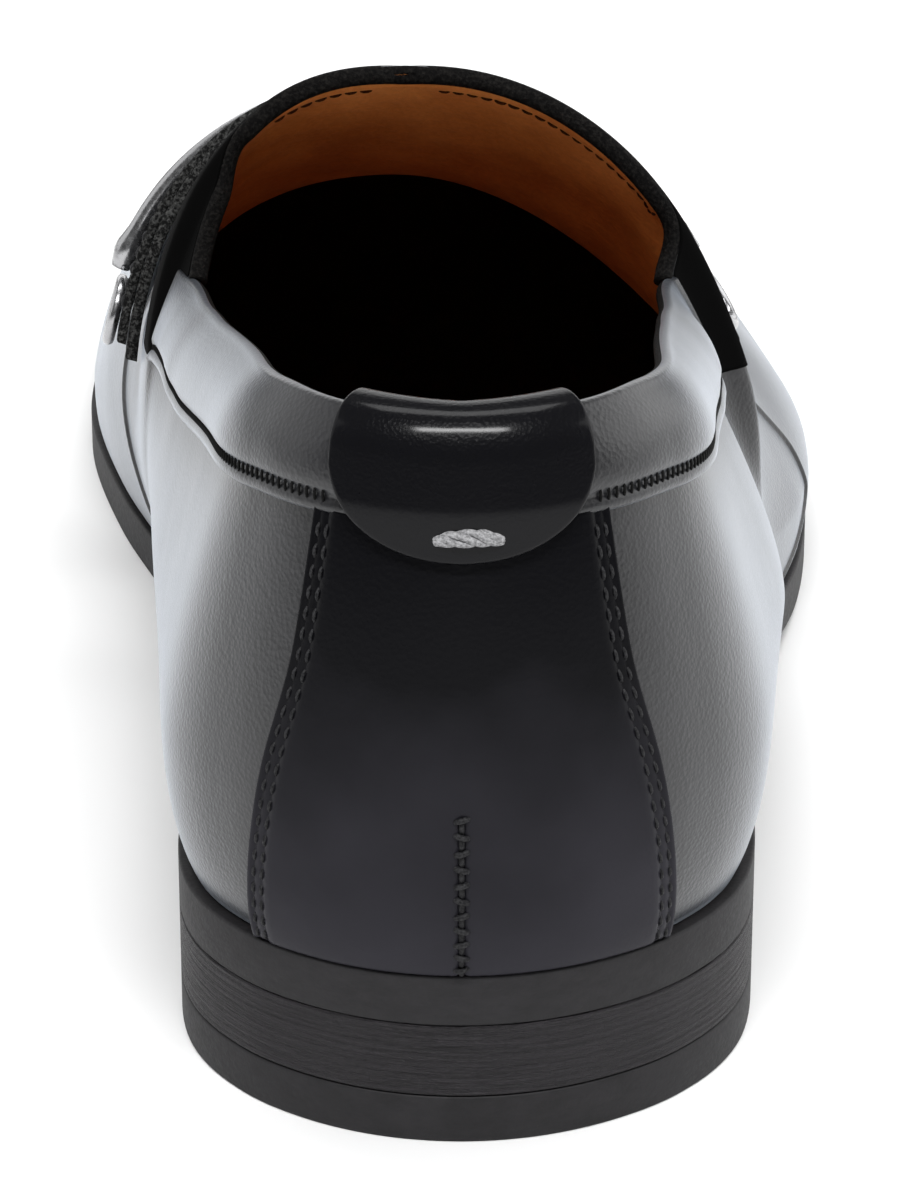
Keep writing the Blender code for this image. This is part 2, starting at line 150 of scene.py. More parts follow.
# One wall per side, a row per rib, columns as in the part's source.
Wall = namedtuple("Wall", "reach swell belly rise full")
OUTER = [
    Wall(0.312, 0.036, 0.230, 0.270, 0.38),
    Wall(0.312, 0.033, 0.230, 0.247, 0.30),
    Wall(0.317, 0.023, 0.185, 0.225, 0.29),
    Wall(0.328, 0.026, 0.160, 0.202, 0.28),
    Wall(0.346, 0.056, 0.130, 0.135, 0.23),
    Wall(0.367, 0.055, 0.118, 0.146, 0.32),
    Wall(0.421, 0.025, 0.110, 0.100, 0.71),
    Wall(0.456, 0.008, 0.105, 0.005, 0.84),
    Wall(0.525, 0.014, 0.100, 0.060, 0.52),
    Wall(0.580, 0.008, 0.080, 0.085, 0.58),
    Wall(0.592, 0.001, 0.050, 0.045, 0.52),
    Wall(0.554, 0.001, 0.050, 0.050, 0.48),
    Wall(0.490, 0.004, 0.070, 0.070, 0.52),
    Wall(0.425, 0.008, 0.090, 0.080, 0.52),
    Wall(0.396, 0.010, 0.100, 0.080, 0.52),
    Wall(0.394, 0.010, 0.100, 0.080, 0.53),
]
INNER = [
    Wall(0.312, 0.036, 0.230, 0.270, 0.38),
    Wall(0.312, 0.033, 0.230, 0.247, 0.30),
    Wall(0.312, 0.024, 0.185, 0.225, 0.28),
    Wall(0.310, 0.027, 0.165, 0.202, 0.30),
    Wall(0.286, 0.061, 0.160, 0.157, 0.50),
    Wall(0.276, 0.078, 0.180, 0.157, 0.60),
    Wall(0.256, 0.088, 0.235, 0.310, 0.69),
    Wall(0.252, 0.090, 0.280, 0.370, 0.64),
    Wall(0.303, 0.057, 0.270, 0.200, 0.69),
    Wall(0.357, 0.026, 0.170, 0.135, 0.82),
    Wall(0.399, 0.003, 0.070, 0.070, 0.74),
    Wall(0.402, 0.001, 0.060, 0.060, 0.64),
    Wall(0.393, 0.004, 0.080, 0.080, 0.60),
    Wall(0.380, 0.008, 0.090, 0.080, 0.56),
    Wall(0.383, 0.010, 0.100, 0.080, 0.54),
    Wall(0.394, 0.010, 0.100, 0.080, 0.53),
]

# Underside of the outsole: along as a share of LENGTH, under as a share of HEEL_HEIGHT.
Arch = namedtuple("Arch", "along under")
ARCH = [
    Arch(-0.10, 1.00),
    Arch(0.10, 1.00),
    Arch(0.24, 1.00),
    Arch(0.30, 0.82),
    Arch(0.37, 0.53),
    Arch(0.44, 0.22),
    Arch(0.50, 0.05),
    Arch(0.54, 0.00),
    Arch(0.72, 0.00),
    Arch(0.80, 0.09),
    Arch(0.88, 0.27),
    Arch(0.95, 0.52),
    Arch(1.00, 0.73),
    Arch(1.10, 1.10),
]

# The back counter: share of its height, and how far it reaches round, in degrees.
Panel = namedtuple("Panel", "share spread")
PANEL_ROWS = [
    Panel(0.00, 44.5),
    Panel(0.20, 41.3),
    Panel(0.45, 37.0),
    Panel(0.70, 32.2),
    Panel(0.88, 31.0),
    Panel(1.00, 30.5),
]

# The vamp's seam down each side: level on the wall, and the rib it crosses there.
Seam = namedtuple("Seam", "level rib")
VAMP_SEAM = [
    Seam(0.00, 7.62),
    Seam(0.40, 7.92),
    Seam(0.70, 8.18),
    Seam(0.95, 8.28),
    Seam(1.15, 8.30),
    Seam(1.30, 8.10),
    Seam(1.45, 7.75),
    Seam(1.60, 7.60),
    Seam(2.00, 7.55),
]

TABLES = {"spine": SPINE, "outer": OUTER, "inner": INNER}


def level_slope(a, b):
    """Slope at a point between two steps that never lets the curve swing past it."""
    return 0.0 if a * b <= 0.0 else 2.0 * a * b / (a + b)


def even_slope(a, b):
    return (a + b) / 2.0


def blend(places, values, x, mean_slope=level_slope):
    """Smooth curve through the points."""
    last = len(places) - 2
    i = 0
    while i < last and places[i + 1] <= x:
        i += 1
    steps = []
    for k in range(last + 1):
        steps.append((values[k + 1] - values[k]) / (places[k + 1] - places[k]))
    start = mean_slope(steps[i - 1], steps[i]) if i > 0 else steps[0]
    end = mean_slope(steps[i], steps[i + 1]) if i < last else steps[last]
    wide = places[i + 1] - places[i]
    t = (x - places[i]) / wide
    lift = values[i + 1] - values[i]
    return (
        values[i]
        + wide * start * t * (1.0 - t) ** 2
        + lift * t * t * (3.0 - 2.0 * t)
        - wide * end * t * t * (1.0 - t)
    )


def through(rows, x):
    """Smooth curve through a table of two columns."""
    places, values = zip(*rows)
    return blend(places, values, x)


@functools.lru_cache(maxsize=None)
def drawn(table, name, u):
    """A column's value at the rib place u, on the even curve through its rows."""
    rows = TABLES[table]
    return blend(range(len(rows)), [getattr(row, name) for row in rows], u, even_slope)


@functools.lru_cache(maxsize=None)
def column(table, name, u):
    """A column's value, softened between the heel's curve and the throat."""
    reach = 0.25 * ease((u - 1.2) / 0.8) * ease((6.6 - u) / 0.8)
    if reach == 0.0:
        return drawn(table, name, u)
    total = 0.0
    for k in range(-3, 4):
        total += (4 - abs(k)) / 16.0 * drawn(table, name, round(u + k * reach, 6))
    return total


def mix(a, b, t):
    return a + (b - a) * t


def ease(t):
    t = min(max(t, 0.0), 1.0)
    return t * t * (3.0 - 2.0 * t)


def spaced(a, b, count):
    return [mix(a, b, k / count) for k in range(count + 1)]


def bezier(a, b, c, d, t):
    s = 1.0 - t
    return a * s**3 + 3.0 * b * s * s * t + 3.0 * c * s * t * t + d * t**3


def along_to_y(along):
    return along * LENGTH - HEEL_WIDTH / 2.0


@functools.lru_cache(maxsize=None)
def underside(y):
    return HEEL_HEIGHT * through(ARCH, (y + HEEL_WIDTH / 2.0) / LENGTH)


def topside(y):
    return underside(y) + OUTSOLE


def wall_name(side):
    return "outer" if side > 0 else "inner"


def edge_point(u, side, inset):
    """Point of the sole's outline in plan, drawn in by inset along its rib."""
    aim = math.radians(column("spine", "aim", u))
    reach = column(wall_name(side), "reach", u) * BALL_WIDTH - inset
    x = column("spine", "swing", u) * BALL_WIDTH + side * reach * math.cos(aim)
    return x, along_to_y(column("spine", "seat", u)) + reach * math.sin(aim)


@functools.lru_cache(maxsize=None)
def rib(u, side):
    """What one rib's curve is made from."""
    wall = wall_name(side)
    aim = math.radians(column("spine", "aim", u))
    foot = column(wall, "reach", u) * BALL_WIDTH - SEAT_INSET
    wide = foot + column(wall, "swell", u) * BALL_WIDTH
    low = topside(edge_point(u, side, SEAT_INSET)[1]) + 0.00035
    belly = low + column(wall, "belly", u) * BACK_HEIGHT
    crown = column("spine", "crown", u) * BACK_HEIGHT
    rise = belly + column(wall, "rise", u) * BACK_HEIGHT
    shoulder = wide * column(wall, "full", u)
    fall = TOE_FALL * shoulder * max(0.0, math.sin(aim))
    x = column("spine", "swing", u) * BALL_WIDTH
    y = along_to_y(column("spine", "seat", u))
    way = (side * math.cos(aim), math.sin(aim))
    return x, y, way, foot, wide, low, belly, rise, crown, fall, shoulder


def notch(u, side, v):
    """By each notch the collar's end is drawn in; on the outer side the tongue stands out."""
    share = ease((u - 4.9) / 1.1) * ease((v - 1.05) / 0.35)
    if side < 0:
        return -COLLAR_DRAWN_IN[0] * share * ease((6.64 - u) / 0.22)
    share *= ease((6.35 - u) / 0.35)
    stood = ease((u - 6.1) / 0.35) * ease((7.22 - u) / 0.32) * ease((v - 1.15) / 0.25)
    return TONGUE_STANDS_OUT * stood * ease((1.95 - v) / 0.35) - COLLAR_DRAWN_IN[1] * share


@functools.lru_cache(maxsize=None)
def wall_point(u, side, v):
    """Point of the last's face: v 0 at the seat, 1 at the widest place, 2 at the crown."""
    x, y, way, foot, wide, low, belly, rise, crown, fall, shoulder = rib(u, side)
    if v < 1.0:
        reach = bezier(foot, foot + 0.75 * (wide - foot), wide, wide, v)
        z = bezier(low, low + 0.25 * (belly - low), low + 0.65 * (belly - low), belly, v)
    else:
        reach = bezier(wide, wide, shoulder, 0.0, v - 1.0)
        reach += notch(u, side, v)
        z = bezier(belly, rise, crown - fall, crown, v - 1.0)
    return Vector((x + way[0] * reach, y + way[1] * reach, z))


def rib_of(a):
    """Rib and side of a place round the foot: 0 the back, -15 and 15 the toe."""
    a = (a + LAST_ROW) % (2.0 * LAST_ROW) - LAST_ROW
    return round(abs(a), 6), (1 if a >= 0.0 else -1)


def face_point(a, v):
    return wall_point(*rib_of(a), round(v, 6))


@functools.lru_cache(maxsize=None)
def face_normal(a, v):
    step = 0.03
    u, side = rib_of(a)
    top = 2.0 if u < THROAT[1] else 1.98
    ahead = face_point(a + step, min(v, top))
    back = face_point(a - step, min(v, top))
    over = face_point(a, min(v + step, 2.0)) - face_point(a, min(v, 2.0 - step) - step)
    way = (ahead - back).cross(over).normalized()
    aim = math.radians(column("spine", "aim", u))
    if way.dot(Vector((side * math.cos(aim), math.sin(aim), 0.3))) < 0.0:
        way = -way
    return way


def place_on(a, v, out):
    """Point at the distance out from the last's face, and the face's normal there."""
    a, v = round(a, 6), round(v, 6)
    normal = face_normal(a, v)
    return face_point(a, v) + normal * out, normal


def off_face(a, v, out):
    return place_on(a, v, out)[0]


@functools.lru_cache(maxsize=None)
def level(a, z):
    """The v at which the rib at a passes the height z."""
    low, high = 0.0, 2.0
    for _ in range(18):
        middle = (low + high) / 2.0
        if face_point(a, middle).z < z:
            low = middle
        else:
            high = middle
    return (low + high) / 2.0


def top_height(a):
    return column("spine", "top", rib_of(a)[0]) * BACK_HEIGHT


def band_height(a):
    return column("spine", "band", rib_of(a)[0]) * BACK_HEIGHT


@functools.lru_cache(maxsize=None)
def topline(a):
    """The v of the upper's free edge: the collar's height, then up across the throat."""
    u = rib_of(a)[0]
    start, end = THROAT
    if u >= end:
        return 2.0
    v = level(a, top_height(a))
    if u <= start:
        return v
    share = (u - start) / (end - start)
    share = 1.0 - (1.0 - share**1.5) ** 0.85
    return v + (2.0 - v) * share


def rib_at(y):
    """The place of the straight rib whose spine stands at y."""
    low, high = 3.0, 10.0
    for _ in range(24):
        middle = (low + high) / 2.0
        if along_to_y(column("spine", "seat", middle)) < y:
            low = middle
        else:
            high = middle
    return (low + high) / 2.0


def rounded(d, radius):
    """Height of a rounded edge at the distance d in from it, 0 to 1."""
    return 1.0 if d >= radius else math.sqrt(max(0.0, 1.0 - (1.0 - d / radius) ** 2))


def trough(d, width):
    return math.exp(-((d / width) ** 2))


# Making meshes.

def grid_faces(rows, cols, wrap_cols=False, wrap_rows=False):
    faces = []
    for i in range(rows if wrap_rows else rows - 1):
        for j in range(cols if wrap_cols else cols - 1):
            k = (j + 1) % cols
            n = (i + 1) % rows
            faces.append((i * cols + j, i * cols + k, n * cols + k, n * cols + j))
    return faces


def piece(name, verts, faces, skins, which=None, replaces=None, slot="upper", merge=0.0):
    """One named piece of the shoe, riding on its body; skins are named with spaces between."""
    mesh = bpy.data.meshes.new(name)
    mesh.from_pydata([tuple(p) for p in verts], [], faces)
    for skin in skins.split():
        mesh.materials.append(SKINS[skin])
    if which:
        mesh.polygons.foreach_set("material_index", which)
    work = bmesh.new()
    work.from_mesh(mesh)
    if merge:
        bmesh.ops.remove_doubles(work, verts=work.verts, dist=merge)
        bmesh.ops.dissolve_degenerate(work, edges=work.edges, dist=merge / 2.0)
    bmesh.ops.recalc_face_normals(work, faces=work.faces)
    work.to_mesh(mesh)
    work.free()
    mesh.polygons.foreach_set("use_smooth", [True] * len(mesh.polygons))
    obj = bpy.data.objects.new(name, mesh)
    bpy.context.scene.collection.objects.link(obj)
    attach(obj, "root")
    if replaces:
        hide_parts(replaces)


def closed_sheet(name, grid, skins, edge_rows=0, **words):
    """Leather between two faces: a grid of pairs of points, upper first, one along its border."""
    rows, cols = len(grid), len(grid[0])
    verts = [upper for row in grid for upper, _ in row]
    number = {}
    faces = grid_faces(rows, cols)
    which = []
    for i in range(rows - 1):
        for j in range(cols - 1):
            near = min(i, j, rows - 2 - i, cols - 2 - j)
            which.append(1 if near < edge_rows else 0)
    for i in range(rows):
        for j in range(cols):
            if i in (0, rows - 1) or j in (0, cols - 1):
                number[i, j] = i * cols + j
            else:
                number[i, j] = len(verts)
                verts.append(grid[i][j][1])
    for i in range(rows - 1):
        for j in range(cols - 1):
            faces.append((number[i, j], number[i + 1, j], number[i + 1, j + 1], number[i, j + 1]))
            which.append(0)
    piece(name, verts, faces, skins, which=which, merge=0.0000005, **words)


def lay(verts, faces, rows, closed=False):
    """Adds a tube of rings: joined round if closed, else with flat ends."""
    start, cols = len(verts), len(rows[0])
    for row in rows:
        verts.extend(row)
    made = grid_faces(len(rows), cols, wrap_cols=True, wrap_rows=closed)
    if not closed:
        made += [tuple(range(cols)), tuple(range((len(rows) - 1) * cols, len(rows) * cols))]
    faces.extend(tuple(start + k for k in face) for face in made)


def tube_rows(path, across, radii, sides):
    """Rings of points round a path; across is a direction the path never follows."""
    rows = []
    count = len(path)
    for i, point in enumerate(path):
        way = path[min(i + 1, count - 1)] - path[max(i - 1, 0)]
        side = way.cross(across[i]).normalized()
        lift = side.cross(way).normalized()
        row = []
        for k in range(sides):
            turn = 2.0 * math.pi * k / sides
            row.append(point + side * radii[i] * math.cos(turn) + lift * radii[i] * math.sin(turn))
        rows.append(row)
    return rows


class Threads:
    """Many short lengths of thread gathered in one piece."""

    def __init__(self, radius, sides=7):
        self.radius = radius
        self.sides = sides
        self.verts = []
        self.faces = []

    def add(self, path, across):
        """A length along the path, with round ends."""
        count = len(path)
        radii = [self.radius * (0.45 if i in (0, count - 1) else 1.0) for i in range(count)]
        lay(self.verts, self.faces, tube_rows(path, across, radii, self.sides))

    def stitch(self, a, b, normal, proud, sink):
        """A stitch from a to b: proud of the leather in its middle, sunk at both ends."""
        path = []
        for t in (0.0, 0.12, 0.35, 0.65, 0.88, 1.0):
            lift = sink + (proud - sink) * (1.0 - abs(2.0 * t - 1.0) ** 2.6)
            path.append(a.lerp(b, t) + normal * lift)
        self.add(path, [normal] * len(path))

    def piece(self, name, skin):
        piece(name, self.verts, self.faces, skin)


class Route:
    """A line on the shoe, measured along its length."""

    def __init__(self, places):
        self.points = [p for p, _ in places]
        self.normals = [n for _, n in places]
        self.marks = [0.0]
        for p, q in zip(self.points, self.points[1:]):
            self.marks.append(self.marks[-1] + (q - p).length)
        self.length = self.marks[-1]

    def at(self, d):
        d = min(max(d, 0.0), self.length)
        i = 0
        while i < len(self.marks) - 2 and self.marks[i + 1] < d:
            i += 1
        t = (d - self.marks[i]) / max(self.marks[i + 1] - self.marks[i], 1e-9)
        return self.points[i].lerp(self.points[i + 1], t), self.normals[i].lerp(self.normals[i + 1], t)

    def sew(self, threads, pitch, fill, proud, sink):
        """A row of stitches, pitch from hole to hole."""
        count = max(1, round(self.length / pitch))
        pitch = self.length / count
        for k in range(count):
            start, n = self.at(k * pitch + pitch * (1.0 - fill) / 2.0)
            end, _ = self.at((k + 1) * pitch - pitch * (1.0 - fill) / 2.0)
            threads.stitch(start, end, n.normalized(), proud, sink)


# Finishes. Lengths in the textures are in metres, in the shoe's own frame.

class Skin:
    """A material with a Principled shader, built a node at a time."""

    def __init__(self, name, colour, roughness, **values):
        self.material = bpy.data.materials.new(name)
        self.material.use_nodes = True
        self.tree = self.material.node_tree
        self.shader = self.tree.nodes["Principled BSDF"]
        self.shader.inputs["Base Color"].default_value = (*colour, 1.0)
        self.shader.inputs["Roughness"].default_value = roughness
        for key, value in values.items():
            self.shader.inputs[key.replace("_", " ").title().replace("Ior", "IOR")].default_value = value
        self.place = self.node("TexCoord").outputs["Object"]

    def node(self, kind, inputs=(), **settings):
        made = self.tree.nodes.new("ShaderNode" + kind)
        for key, value in settings.items():
            setattr(made, key, value)
        for key, value in dict(inputs).items():
            if isinstance(value, bpy.types.NodeSocket):
                self.tree.links.new(value, made.inputs[key])
            else:
                made.inputs[key].default_value = value
        return made

    def stretched(self, scale):
        return self.node("Mapping", {"Vector": self.place, "Scale": scale}).outputs["Vector"]

    def noise(self, size, detail=3.0, rough=0.55, place=None):
        inputs = {"Vector": place or self.place, "Scale": 1.0 / size, "Detail": detail, "Roughness": rough}
        return self.node("TexNoise", inputs).outputs["Fac"]

    def cells(self, size, feature="F1"):
        inputs = {"Vector": self.place, "Scale": 1.0 / size}
        return self.node("TexVoronoi", inputs, feature=feature).outputs["Distance"]

    def math(self, operation, a, b):
        return self.node("Math", {0: a, 1: b}, operation=operation).outputs[0]

    def spread(self, value, *span):
        """The value from one range to another; the span is low, high, new low, new high."""
        keys = ("Value", "From Min", "From Max", "To Min", "To Max")
        return self.node("MapRange", dict(zip(keys, (value, *span)))).outputs["Result"]

    def colours(self, value, first, second):
        mixed = self.node("Mix", {"Factor": value}, data_type="RGBA")
        mixed.inputs[6].default_value = (*first, 1.0)
        mixed.inputs[7].default_value = (*second, 1.0)
        return mixed.outputs[2]

    def set(self, key, socket):
        self.tree.links.new(socket, self.shader.inputs[key])

    def paint(self, value, low, high, first, second):
        """Base colour, from the first to the second as the value goes from low to high."""
        self.set("Base Color", self.colours(self.spread(value, low, high, 0.0, 1.0), first, second))

    def relief(self, layers):
        """Bumps laid one on another: pairs of height and depth."""
        normal = None
        for height, depth in layers:
            inputs = {"Height": height, "Distance": depth, "Strength": 1.0}
            if normal:
                inputs["Normal"] = normal
            normal = self.node("Bump", inputs).outputs["Normal"]
        self.set("Normal", normal)


def leather(name, dark, light, rough, grain, depth, sheen, **values):
    """Smooth finished leather: fine cells, finer pores, and soft clouds of wear."""
    tint = (0.80, 0.88, 1.0, 1.0)
    skin = Skin(name, dark, rough, sheen_weight=sheen, sheen_roughness=0.3, sheen_tint=tint, **values)
    cells = skin.cells(grain)
    fine = skin.noise(grain * 0.5, 2.0)
    clouds = skin.noise(0.012, 4.0, 0.6)
    skin.paint(clouds, 0.35, 0.7, dark, light)
    skin.set("Roughness", skin.spread(clouds, 0.3, 0.7, rough * 0.93, rough * 1.08))
    skin.relief([(clouds, depth * 1.5), (cells, depth), (fine, depth * 0.5)])
    return skin.material


def counter_skin(dark, painted_floor_reflection, **values):
    """Polished back leather, painted a little paler towards the sole: a painted reflection of the floor.
    """
    skin = Skin("counter_leather", dark, 0.26, **values)
    height = skin.node("SeparateXYZ", {"Vector": skin.place}).outputs["Z"]
    clouds = skin.noise(0.02, 3.0, 0.5)
    # Painted reflection: the colour goes from a pale bluish grey low on the counter to black higher up,
    # along a softly wavering border.
    reflection_fade = skin.math("ADD", height, skin.spread(clouds, 0.3, 0.7, -0.006, 0.006))
    skin.paint(reflection_fade, 0.022, 0.058, painted_floor_reflection, dark)
    skin.relief([(skin.cells(0.0006), 0.00002), (skin.noise(0.0003, 2.0), 0.00001)])
    return skin.material


def cut_edge(name, dark, light):
    """Raw cut edge of leather: rough and speckled."""
    skin = Skin(name, dark, 0.8, specular_ior_level=0.08)
    specks = skin.noise(0.0005, 3.0, 0.7)
    skin.paint(specks, 0.45, 0.72, dark, light)
    skin.relief([(specks, 0.0003)])
    return skin.material


def lining_skin(name, dark, light, rough):
    """Vegetable-tanned lining: warm, slightly mottled, softly wrinkled."""
    skin = Skin(name, light, rough, coat_weight=0.15, coat_roughness=0.4)
    clouds = skin.noise(0.012, 4.0, 0.65)
    pores = skin.noise(0.0007, 2.0, 0.6)
    mottled = skin.math("ADD", clouds, skin.spread(pores, 0.3, 0.7, -0.08, 0.08))
    skin.paint(mottled, 0.3, 0.7, dark, light)
    skin.relief([(clouds, 0.0006), (pores, 0.00009)])
    return skin.material


def rubber(name, dark, light, rough, stretch, depth):
    """Dark composition: fine lines along the edge, dusty variation."""
    skin = Skin(name, dark, rough, specular_ior_level=0.3)
    lines = skin.noise(0.004, 4.0, 0.7, skin.stretched(stretch))
    dust = skin.noise(0.0006, 2.0, 0.6)
    shade = skin.math("ADD", lines, skin.spread(dust, 0.3, 0.7, -0.12, 0.12))
    skin.paint(shade, 0.3, 0.7, dark, light)
    skin.set("Roughness", skin.spread(dust, 0.3, 0.7, rough - 0.06, rough + 0.06))
    skin.relief([(lines, depth), (dust, 0.00005)])
    return skin.material


def thread(name, dark, light, rough):
    skin = Skin(name, dark, rough, specular_ior_level=0.15)
    plies = skin.noise(0.0003, 2.0, 0.6)
    skin.paint(plies, 0.35, 0.65, dark, light)
    skin.relief([(plies, 0.00012)])
    return skin.material


def brushed_metal(name):
    skin = Skin(name, (0.42, 0.42, 0.43), 0.28, metallic=1.0)
    wear = skin.noise(0.0009, 3.0, 0.7)
    skin.set("Roughness", skin.spread(wear, 0.3, 0.7, 0.18, 0.32))
    skin.relief([(wear, 0.00002)])
    return skin.material


def make_skins():
    black, soft = (0.006, 0.006, 0.007), (0.013, 0.013, 0.015)
    # The second colour of this pair is the pale bluish tint of the counter's painted floor reflection.
    deep, painted_floor_reflection = (0.004, 0.004, 0.005), (0.030, 0.029, 0.036)
    sole = (0.010, 0.0095, 0.0105), (0.018, 0.017, 0.019)
    stack = (0.009, 0.008, 0.0095), (0.024, 0.021, 0.025)
    satin = {"specular_ior_level": 0.4, "coat_weight": 0.3, "coat_roughness": 0.32}
    polished = {"specular_ior_level": 0.04, "coat_weight": 0.05, "coat_roughness": 0.12}
    glazed = {"specular_ior_level": 0.04, "coat_weight": 0.26, "coat_roughness": 0.13}
    return {
        "quarter": leather("quarter_leather", black, soft, 0.34, 0.00055, 0.00005, 0.42, **satin),
        "collar": leather("collar_leather", black, soft, 0.34, 0.00055, 0.00005, 0.45, **satin),
        "counter": counter_skin(deep, painted_floor_reflection, **polished),
        "tab": leather("tab_leather", deep, deep, 0.27, 0.00042, 0.00004, 0.0, **glazed),
        "strap": leather("strap_leather", black, soft, 0.36, 0.00055, 0.00007, 0.15, **satin),
        "edge": cut_edge("cut_edge", (0.004, 0.004, 0.004), (0.085, 0.085, 0.083)),
        "edge_dark": cut_edge("dyed_edge", (0.002, 0.0018, 0.0018), (0.014, 0.013, 0.012)),
        "lining": lining_skin("tan_lining", (0.55, 0.17, 0.03), (0.82, 0.31, 0.075), 0.5),
        # The sock is near black: partly a dark sock lining, partly painted shade deep inside the shoe.
        "sock": lining_skin("sock_lining", (0.006, 0.0035, 0.0025), (0.012, 0.006, 0.004), 0.7),
        "sole": rubber("sole_edge", *sole, 0.62, (1.0, 1.0, 2.0), 0.00012),
        "stack": rubber("heel_layers", *stack, 0.5, (0.4, 0.4, 9.0), 0.0011),
        "black_thread": thread("black_thread", (0.008, 0.008, 0.009), (0.03, 0.03, 0.032), 0.5),
        # Near-black thread for the collar's ticks: black thread, made darker still as painted shade in the
        # sunk stitch pits of the groove.
        "dark_thread": thread("dark_thread", (0.001, 0.001, 0.001), (0.003, 0.003, 0.003), 0.7),
        # Flat black with no shine: painted shade, laid as a thin sheet in each notch between the collar's
        # end and the strap.
        "painted_shade": Skin("painted_shade_black", (0.001, 0.001, 0.001), 0.9, specular_ior_level=0.05).material,
        "lining_thread": thread("lining_thread", (0.02, 0.005, 0.001), (0.07, 0.02, 0.005), 0.7),
        "silver_thread": thread("silver_thread", (0.16, 0.16, 0.165), (0.42, 0.42, 0.43), 0.38),
        "metal": brushed_metal("brushed_bit"),
    }


# The upper.

def foot_places():
    """Rib places for the upper, close where the form turns quickly."""
    steps = [12, 12, 12, 20, 9, 12, 14, 14, 16, 16, 12, 12, 12, 12, 12]
    places = []
    for i, count in enumerate(steps):
        places += [i + k / count for k in range(count)]
    places += [7.93, 7.96, 7.98, 7.992, 8.008, 8.02, 8.05]
    return sorted(set(places)) + [float(LAST_ROW)]


def seam_rib(v):
    return through(VAMP_SEAM, v)


def seamed(u, v):
    """The rib place drawn over so that place 8 follows the vamp's seam."""
    near = ease(1.0 - abs(u - 8.0) / (1.3 if u < 8.0 else 1.9))
    return u + (seam_rib(v) - 8.0) * near


def wall_depth(a, v):
    """Thickness of the wall at a place: less near the rim."""
    u, _ = rib_of(a)
    if u >= THROAT[1]:
        return WALL
    return mix(RIM_WALL, WALL, ease((topline(a) - v) / 0.16))


def inner_point(a, v):
    """Point of the lining's face behind a place."""
    deep = wall_depth(a, v)
    if v > 1.97 and rib_of(a)[0] >= THROAT[1]:
        return face_point(a, v) - (face_normal(a, v) + face_normal(-a, v)).normalized() * deep
    return off_face(a, v, -deep)


def build_upper():
    """Outer leather and lining in one wall; places past the throat close over the crown."""
    places = foot_places()
    loop = [(u, 1) for u in places] + [(u, -1) for u in places[-2:0:-1]]
    rows = []
    for u, side in loop:
        top = topline(side * u)
        vs = spaced(0.0, 1.0, 14) + spaced(1.0, top, 40)[1:]
        outer_row, inner_row = [], []
        for v in vs:
            a = side * (seamed(u, v) if u > THROAT[1] - 0.5 else u)
            lift = VAMP_STEP * ease((u - 7.992) / 0.016)
            a, v = round(a, 6), round(v, 6)
            outer_row.append(off_face(a, v, lift))
            inner_row.append(inner_point(a, v))
        rows.append(outer_row + inner_row[::-1])
    cols = len(rows[0])
    half = cols // 2
    faces, which = [], []
    for k, face in enumerate(grid_faces(len(rows), cols, wrap_cols=True, wrap_rows=True)):
        i, j = divmod(k, cols)
        ahead = loop[(i + 1) % len(rows)][0]
        if j == half - 1 and min(loop[i][0], ahead) >= THROAT[1]:
            continue
        faces.append(face)
        which.append(0 if j < half - 1 else 2 if j == half - 1 else 1)
    verts = [p for row in rows for p in row]
    piece("upper_leather", verts, faces, "quarter lining edge_dark", which, "upper", merge=0.000002)


def collar_lift(a, d):
    """How far the padded band stands off the last at the height d over its lower edge."""
    share = d / band_height(a)
    lift = mix(COLLAR_EDGE, COLLAR_RIM, share)
    pad = (COLLAR_PAD - COLLAR_RIM) * ease((COLLAR_ENDS[a > 0.0] + 0.1 - abs(a)) / 0.9)
    lift += pad * math.sin(math.pi * min(1.0, share * 1.02)) ** 0.8
    lift -= 0.0006 * trough(d - COLLAR_ROW, 0.0007)
    return lift * mix(0.25, 1.0, rounded(d, 0.0005))


def build_collar():
    """Padded band round the topline, rolled over the rim, with a sewn channel."""
    near_edge = [0.0, 0.00008, 0.0002, 0.00045, 0.0009, 0.0014, 0.0017, 0.0019, 0.0021, 0.0023]
    near_edge += [0.0026, 0.0031]
    outside = 14
    turns = 10
    inside = [0.0006, 0.0013, 0.0021]
    rows = []
    for a in spaced(-COLLAR_ENDS[0], COLLAR_ENDS[1], 420):
        top = top_height(a)
        low = top - band_height(a)
        row = []
        heights = [low + d for d in near_edge]
        heights += [mix(heights[-1], top, k / outside) for k in range(1, outside + 1)]
        for z in heights:
            row.append(off_face(a, level(a, z), collar_lift(a, z - low)))
        rim, out = place_on(a, level(a, top), 0.0)
        rise = (UP - out * out.z).normalized()
        for k in range(1, turns):
            turn = math.pi * k / turns
            reach = mix(-COLLAR_INSIDE, COLLAR_RIM, (1.0 + math.cos(turn)) / 2.0)
            row.append(rim + out * reach + rise * COLLAR_OVER * math.sin(turn))
        for drop in inside:
            row.append(off_face(a, level(a, top - drop), -COLLAR_INSIDE))
        rows.append(row)
    cols = len(rows[0])
    verts = [p for row in rows for p in row]
    faces = grid_faces(len(rows), cols)
    cut = len(near_edge) + outside + 4
    which = [1 if j >= cut else 0 for _ in range(len(rows) - 1) for j in range(cols - 1)]
    piece("collar_leather", verts, faces, "collar edge_dark", which, "collar_band")
    build_collar_ticks()


